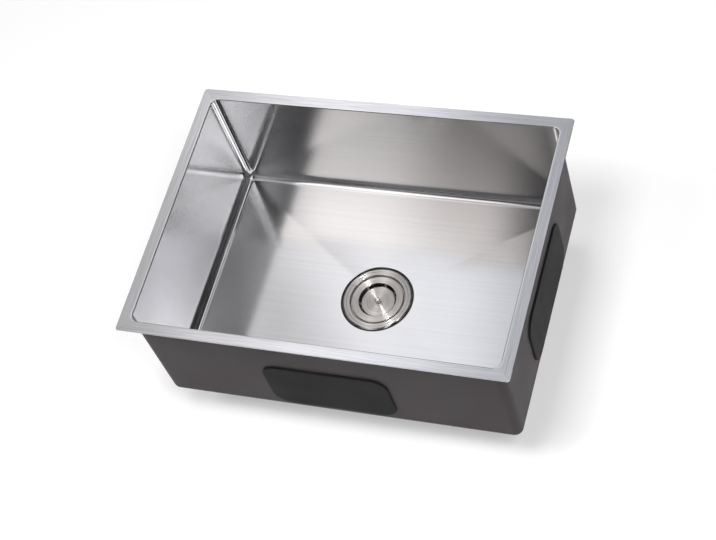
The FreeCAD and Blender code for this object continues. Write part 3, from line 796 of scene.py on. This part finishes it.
def coated(name, base, roughness, grain_scale, grain_height, mottle=0.15, shine=0.5):
    """Paint, rubber or plastic: a mottled colour, cloudy roughness and a fine grained height."""
    if name in bpy.data.materials:
        return bpy.data.materials[name]
    material = bpy.data.materials.new(name)
    material.use_nodes = True
    tree = material.node_tree
    shader = tree.nodes["Principled BSDF"]
    shader.inputs["Specular IOR Level"].default_value = shine
    where = node(tree, "ShaderNodeTexCoord", (-1000, 0))
    grain = node(tree, "ShaderNodeGroup", (-760, 0), node_tree=coat_grain_group())
    grain.inputs["Grain Scale"].default_value = grain_scale
    tone = node(tree, "ShaderNodeMix", (-300, 260), data_type="RGBA")
    tone.inputs["A"].default_value = (*[c * (1 - mottle) for c in base], 1)
    tone.inputs["B"].default_value = (*[min(c * (1 + mottle), 1) for c in base], 1)
    height = node(tree, "ShaderNodeBump", (-300, -120), Strength=0.5, Distance=grain_height * MM)
    link = tree.links.new
    link(where.outputs["Object"], grain.inputs["Vector"])
    link(spread(tree, grain.outputs["Mottle"], 0.0, 1.0, (-520, 300)), tone.inputs["Factor"])
    link(tone.outputs["Result"], shader.inputs["Base Color"])
    link(spread(tree, grain.outputs["Mottle"], roughness * 0.88, min(roughness * 1.1, 1), (-520, 60)),
         shader.inputs["Roughness"])
    link(grain.outputs["Grain"], height.inputs["Height"])
    link(height.outputs[0], shader.inputs["Normal"])
    return material


def undercoat(colours):
    return coated("sprayed undercoat", colours.undercoat, 0.5, 900.0, 0.05, shine=0.2)


def pad_rubber(colours):
    return coated("sound pad rubber", colours.pad, 0.62, 1400.0, 0.06, mottle=0.25, shine=0.12)


def black_rubber(colours):
    return coated("black rubber", colours.rubber, 0.45, 800.0, 0.04, mottle=0.3)


class SINK_OT_dress_fittings(bpy.types.Operator):
    """Gives the hidden fittings their materials"""
    bl_idname = "sink.dress_fittings"
    bl_label = "Dress Fittings"

    def execute(self, context):
        colours = context.scene.sink_colours
        rubber = black_rubber(colours)
        fibre = coated("pressed fibre", colours.fibre, 0.8, 500.0, 0.12, mottle=0.3)
        plastic = coated("moulded plastic", colours.plastic, 0.42, 600.0, 0.02, mottle=0.04)
        cast = coated("cast nut metal", colours.cast, 0.42, 420.0, 0.12, mottle=0.12)
        cast.node_tree.nodes["Principled BSDF"].inputs["Metallic"].default_value = 1.0
        satin = coated("satin steel", colours.strainer, 0.3, 900.0, 0.02, mottle=0.06)
        satin.node_tree.nodes["Principled BSDF"].inputs["Metallic"].default_value = 1.0
        finishes = {
            "under_gasket": rubber, "coupling_washer": rubber,
            "stopper_seal": rubber, "friction_ring": fibre, "coupling_nut": plastic,
            "guide_bush": plastic, "lock_nut": cast, "crossbar": satin, "basket_stem": satin,
            "stopper_washer": satin,
        }
        for name, material in finishes.items():
            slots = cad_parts[name].data.materials
            slots.clear()
            slots.append(material)
        return {"FINISHED"}


# ---------------------------------------------------------------- stage

CAMERA_PLACE = (0.8589, -1.2520, 2.0716)
CAMERA_TURN = (32.456, 12.954, 15.404)
CAMERA_LENS = 87.52
SENSOR_WIDTH = 36.0


def add_camera():
    """The photograph's viewpoint, recovered from the rim's corners and the bowl's edges."""
    data = bpy.data.cameras.new("photo_camera")
    data.lens = CAMERA_LENS
    data.sensor_width = SENSOR_WIDTH
    data.clip_end = 30.0
    camera = bpy.data.objects.new("photo_camera", data)
    camera.location = CAMERA_PLACE
    camera.rotation_euler = [math.radians(angle) for angle in CAMERA_TURN]
    bpy.context.scene.collection.objects.link(camera)
    bpy.context.scene.camera = camera


def seen_as_white(tree):
    """One where a camera, glossy or transmission ray looks."""
    path = node(tree, "ShaderNodeLightPath", (-900, 300))
    first = node(tree, "ShaderNodeMath", (-700, 300), operation="MAXIMUM")
    second = node(tree, "ShaderNodeMath", (-520, 300), operation="MAXIMUM")
    tree.links.new(path.outputs["Is Camera Ray"], first.inputs[0])
    tree.links.new(path.outputs["Is Glossy Ray"], first.inputs[1])
    tree.links.new(first.outputs[0], second.inputs[0])
    tree.links.new(path.outputs["Is Transmission Ray"], second.inputs[1])
    return second.outputs[0]


def add_world(settings):
    world = bpy.data.worlds.new("studio")
    world.use_nodes = True
    bpy.context.scene.world = world
    tree = world.node_tree
    ground = tree.nodes["Background"]
    ground.inputs["Color"].default_value = (1, 1, 1, 1)
    strength = node(tree, "ShaderNodeMapRange", (-300, 200))
    strength.inputs["To Min"].default_value = settings.ambient
    strength.inputs["To Max"].default_value = 1.0
    tree.links.new(seen_as_white(tree), strength.inputs["Value"])
    tree.links.new(strength.outputs["Result"], ground.inputs["Strength"])


FLOOR_HALF_SIZE = 6.0
FLOOR_GAP = 0.5 * MM
FLOOR_COLOUR = (0.62, 0.62, 0.62, 1)


def add_floor(settings):
    """White floor: it shines for the camera and keeps the shadow of its matt part."""
    half = FLOOR_HALF_SIZE
    height = CAD_BOX[0][2] - FLOOR_GAP
    corners = np.array([[-half, -half, height], [half, -half, height], [half, half, height],
                        [-half, half, height]])
    mesh = bpy.data.meshes.new("studio_floor")
    mesh.from_pydata(corners.tolist(), [], [[0, 1, 2, 3]])
    floor = bpy.data.objects.new("studio_floor", mesh)
    bpy.context.scene.collection.objects.link(floor)
    material = bpy.data.materials.new("white floor")
    material.use_nodes = True
    tree = material.node_tree
    tree.nodes.remove(tree.nodes["Principled BSDF"])
    matt = node(tree, "ShaderNodeBsdfDiffuse", (-100, -100), Color=FLOOR_COLOUR)
    shine = node(tree, "ShaderNodeEmission", (-100, 100))
    both = node(tree, "ShaderNodeAddShader", (120, 0))
    glow = node(tree, "ShaderNodeMath", (-300, 100), operation="MULTIPLY")
    glow.inputs[1].default_value = settings.floor_glow
    tree.links.new(seen_as_white(tree), glow.inputs[0])
    tree.links.new(glow.outputs[0], shine.inputs["Strength"])
    tree.links.new(shine.outputs[0], both.inputs[0])
    tree.links.new(matt.outputs[0], both.inputs[1])
    tree.links.new(both.outputs[0], tree.nodes["Material Output"].inputs["Surface"])
    mesh.materials.append(material)


# Each soft lamp: its height above the horizon and its turn from +X, in degrees, and its share of
# the power. The directions, and roughly the shares, came out of a scratch program that fitted lamps
# to the photo's floor and its shadow.
LAMPS = {
    "front_overhead_lamp": (75, -90, 0.36),
    "front_right_lamp": (55, -36, 0.27),
    "front_left_lamp": (55, -144, 0.20),
    "back_overhead_lamp": (75, 90, 0.17),
}
LAMP_DISTANCE = 3.0
LAMP_SIZE = 0.8

# A small lamp that only the strainer's turned steel sees: it draws the streak across the rings.
PIN_LAMP = (85, 90)
PIN_LAMP_SIZE = 0.10
PIN_LAMP_POWER = 9.0
PIN_LAMP_PIECES = "pin lamp pieces"


def add_lamp(name, height, turn, power, size=LAMP_SIZE, in_reflections=False):
    """A square soft lamp that looks at the bowl, seen either by matt surfaces or by reflections."""
    height, turn = math.radians(height), math.radians(turn)
    across = math.cos(height)
    towards = Vector((across * math.cos(turn), across * math.sin(turn), math.sin(height)))
    data = bpy.data.lights.new(name, "AREA")
    data.size = size
    data.energy = power
    lamp = bpy.data.objects.new(name, data)
    lamp.location = towards * LAMP_DISTANCE
    lamp.rotation_euler = towards.to_track_quat("Z", "Y").to_euler()
    lamp.visible_glossy = in_reflections
    lamp.visible_diffuse = not in_reflections
    bpy.context.scene.collection.objects.link(lamp)
    return lamp


def pin_lamp_pieces():
    """Collection of the pieces that the pin lamp lights."""
    if PIN_LAMP_PIECES in bpy.data.collections:
        return bpy.data.collections[PIN_LAMP_PIECES]
    return bpy.data.collections.new(PIN_LAMP_PIECES)


TENT_RADIUS = 1.65
TENT_FOOT = -10

# Each soft box of the tent: where it lies, as X and Y shares of the dome, how soft its edges are,
# how bright it is and its tint. The flag is a black card, which takes light away. The flag and the
# overhead panel were set one by one. The other nine came out of a scratch program that fitted the
# tent to the tones of the photo's steel, and were then rounded and partly changed by hand.
SOFT_BOXES = {
    "left_long": ((-0.49, -0.23), (-0.32, 0.85), (0.14, 0.03), 0.90, (0.99, 0.99, 1.02)),
    "left_front": ((-0.67, -0.34), (-0.76, 0.66), (0.05, 0.12), 0.50, (1.02, 1.00, 1.00)),
    "left_hot": ((-0.52, -0.18), (-0.51, -0.18), (0.03, 0.24), 1.50, (1.06, 1.00, 0.95)),
    "left_flag": ((-0.48, -0.36), (0.31, 0.50), (0.04, 0.05), -0.52, (1.00, 1.00, 1.00)),
    "overhead_haze": ((-0.31, 0.03), (0.17, 0.76), (0.08, 0.05), 0.62, (0.98, 1.00, 1.05)),
    "overhead_panel": ((-0.20, 0.34), (-0.24, 0.22), (0.08, 0.08), 0.55, (1.00, 1.00, 1.00)),
    "back_strip": ((0.16, 0.19), (0.44, 0.65), (0.02, 0.05), 1.90, (1.00, 1.00, 1.02)),
    "right_front": ((0.34, 0.48), (-0.94, -0.42), (0.03, 0.08), 2.60, (1.01, 1.00, 1.00)),
    "right_back": ((0.34, 0.49), (0.22, 1.04), (0.04, 0.07), 1.38, (1.00, 0.99, 1.03)),
    "right_middle": ((0.31, 0.40), (-0.48, 0.43), (0.05, 0.04), 2.10, (1.00, 1.00, 1.00)),
    "right_low": ((0.54, 0.71), (-0.32, 0.00), (0.02, 0.03), 4.00, (1.00, 1.00, 1.00)),
}


# The tent's low band glows softly all round, but for dark sectors: where the band starts, as a
# share of the dome's radius, how bright it is, and each sector's turn and half width in degrees.
LOW_BAND_START = 0.88
LOW_BAND_GLOW = 0.35
DARK_SECTORS = ((45, 22), (222, 32))


def between(value, ends, softness):
    """One between two ends, nought outside, with an S-shaped change across each end."""
    def rise(distance):
        part = np.clip(distance / softness / 2 + 0.5, 0, 1)
        return part * part * (3 - 2 * part)
    return rise(value - ends[0]) * rise(ends[1] - value)


def low_band(x, y):
    """One low down on the dome, nought higher up and in the dark sectors."""
    band = between(np.hypot(x, y), (LOW_BAND_START, 2.0), 0.05)
    turn = np.degrees(np.arctan2(y, x))
    for middle, half_width in DARK_SECTORS:
        away = np.abs((turn - middle + 180) % 360 - 180)
        band = band * between(away, (half_width, 360), 6)
    return band


def add_tent(settings):
    """Dark dome that only reflections see. It glows where its soft boxes lie."""
    rows, columns = 120, 360
    height = np.radians(np.linspace(TENT_FOOT, 90, rows))[:, None]
    turn = np.linspace(0, 2 * math.pi, columns, endpoint=False)[None]
    x, y, z = np.cos(height) * np.cos(turn), np.cos(height) * np.sin(turn), np.sin(height) + 0 * turn
    points = np.stack([x, y, z], axis=-1)
    glow = settings.tent + LOW_BAND_GLOW * np.repeat(low_band(x, y)[..., None], 3, axis=-1)
    for x_ends, y_ends, softness, strength, tint in SOFT_BOXES.values():
        box = between(x, x_ends, softness[0]) * between(y, y_ends, softness[1]) * (z > 0)
        glow += strength * box[..., None] * np.array(tint)
    glow = np.maximum(glow, 0)
    mesh = bpy.data.meshes.new("reflection_tent")
    mesh.from_pydata((points.reshape(-1, 3) * TENT_RADIUS).tolist(), [],
                     quads_between(rows, columns).reshape(-1, 4).tolist())
    layer = mesh.color_attributes.new("Glow", "FLOAT_COLOR", "POINT")
    layer.data.foreach_set("color", np.insert(glow.reshape(-1, 3), 3, 1.0, axis=1).ravel())
    tent = bpy.data.objects.new("reflection_tent", mesh)
    bpy.context.scene.collection.objects.link(tent)
    for ray in ("camera", "diffuse", "transmission", "volume_scatter", "shadow"):
        setattr(tent, "visible_" + ray, False)
    material = bpy.data.materials.new("tent cloth")
    material.use_nodes = True
    tree = material.node_tree
    tree.nodes.remove(tree.nodes["Principled BSDF"])
    boxes = node(tree, "ShaderNodeAttribute", (-300, 0), attribute_name="Glow")
    cloth = node(tree, "ShaderNodeEmission", (0, 0))
    tree.links.new(boxes.outputs["Color"], cloth.inputs["Color"])
    tree.links.new(cloth.outputs[0], tree.nodes["Material Output"].inputs["Surface"])
    mesh.materials.append(material)


class SINK_OT_make_stage(bpy.types.Operator):
    """Makes the camera, the white floor, the lamps and the tent"""
    bl_idname = "sink.make_stage"
    bl_label = "Make Stage"

    def execute(self, context):
        settings = context.scene.sink_stage
        add_camera()
        add_world(settings)
        add_floor(settings)
        add_tent(settings)
        for name, (height, turn, share) in LAMPS.items():
            add_lamp(name, height, turn, settings.lamp_power * share)
        pin = add_lamp("pin_lamp", *PIN_LAMP, PIN_LAMP_POWER, PIN_LAMP_SIZE, in_reflections=True)
        pin.light_linking.receiver_collection = pin_lamp_pieces()
        context.scene.view_settings.view_transform = "Standard"
        return {"FINISHED"}


class SINK_PT_panel(bpy.types.Panel):
    """Sizes, colours and makers of the sink"""
    bl_label = "Kitchen Sink"
    bl_idname = "SINK_PT_panel"
    bl_space_type = "VIEW_3D"
    bl_region_type = "UI"
    bl_category = "Sink"

    def draw(self, context):
        layout = self.layout
        for group in ("sink_bowl", "sink_pads", "sink_colours", "sink_stage"):
            settings = getattr(context.scene, group)
            box = layout.box()
            for name in settings.__annotations__:
                box.prop(settings, name)
        for operator in OPERATORS:
            layout.operator(operator.bl_idname)


OPERATORS = (SINK_OT_make_stage, SINK_OT_make_bowl, SINK_OT_make_pads, SINK_OT_make_strainer,
             SINK_OT_make_basket, SINK_OT_dress_fittings)
GROUPS = {"sink_bowl": SinkBowlSizes, "sink_pads": SinkPadSizes, "sink_colours": SinkColours,
          "sink_stage": SinkStageSettings}


def register():
    for group in GROUPS.values():
        bpy.utils.register_class(group)
    for name, group in GROUPS.items():
        setattr(bpy.types.Scene, name, bpy.props.PointerProperty(type=group))
    for operator in OPERATORS:
        bpy.utils.register_class(operator)
    bpy.utils.register_class(SINK_PT_panel)


def unregister():
    bpy.utils.unregister_class(SINK_PT_panel)
    for operator in reversed(OPERATORS):
        bpy.utils.unregister_class(operator)
    for name, group in GROUPS.items():
        delattr(bpy.types.Scene, name)
        bpy.utils.unregister_class(group)


def main():
    register()
    bpy.ops.sink.make_stage()
    bpy.ops.sink.make_bowl()
    bpy.ops.sink.make_pads()
    bpy.ops.sink.make_strainer()
    bpy.ops.sink.make_basket()
    bpy.ops.sink.dress_fittings()


if __name__ == "__main__":
    main()
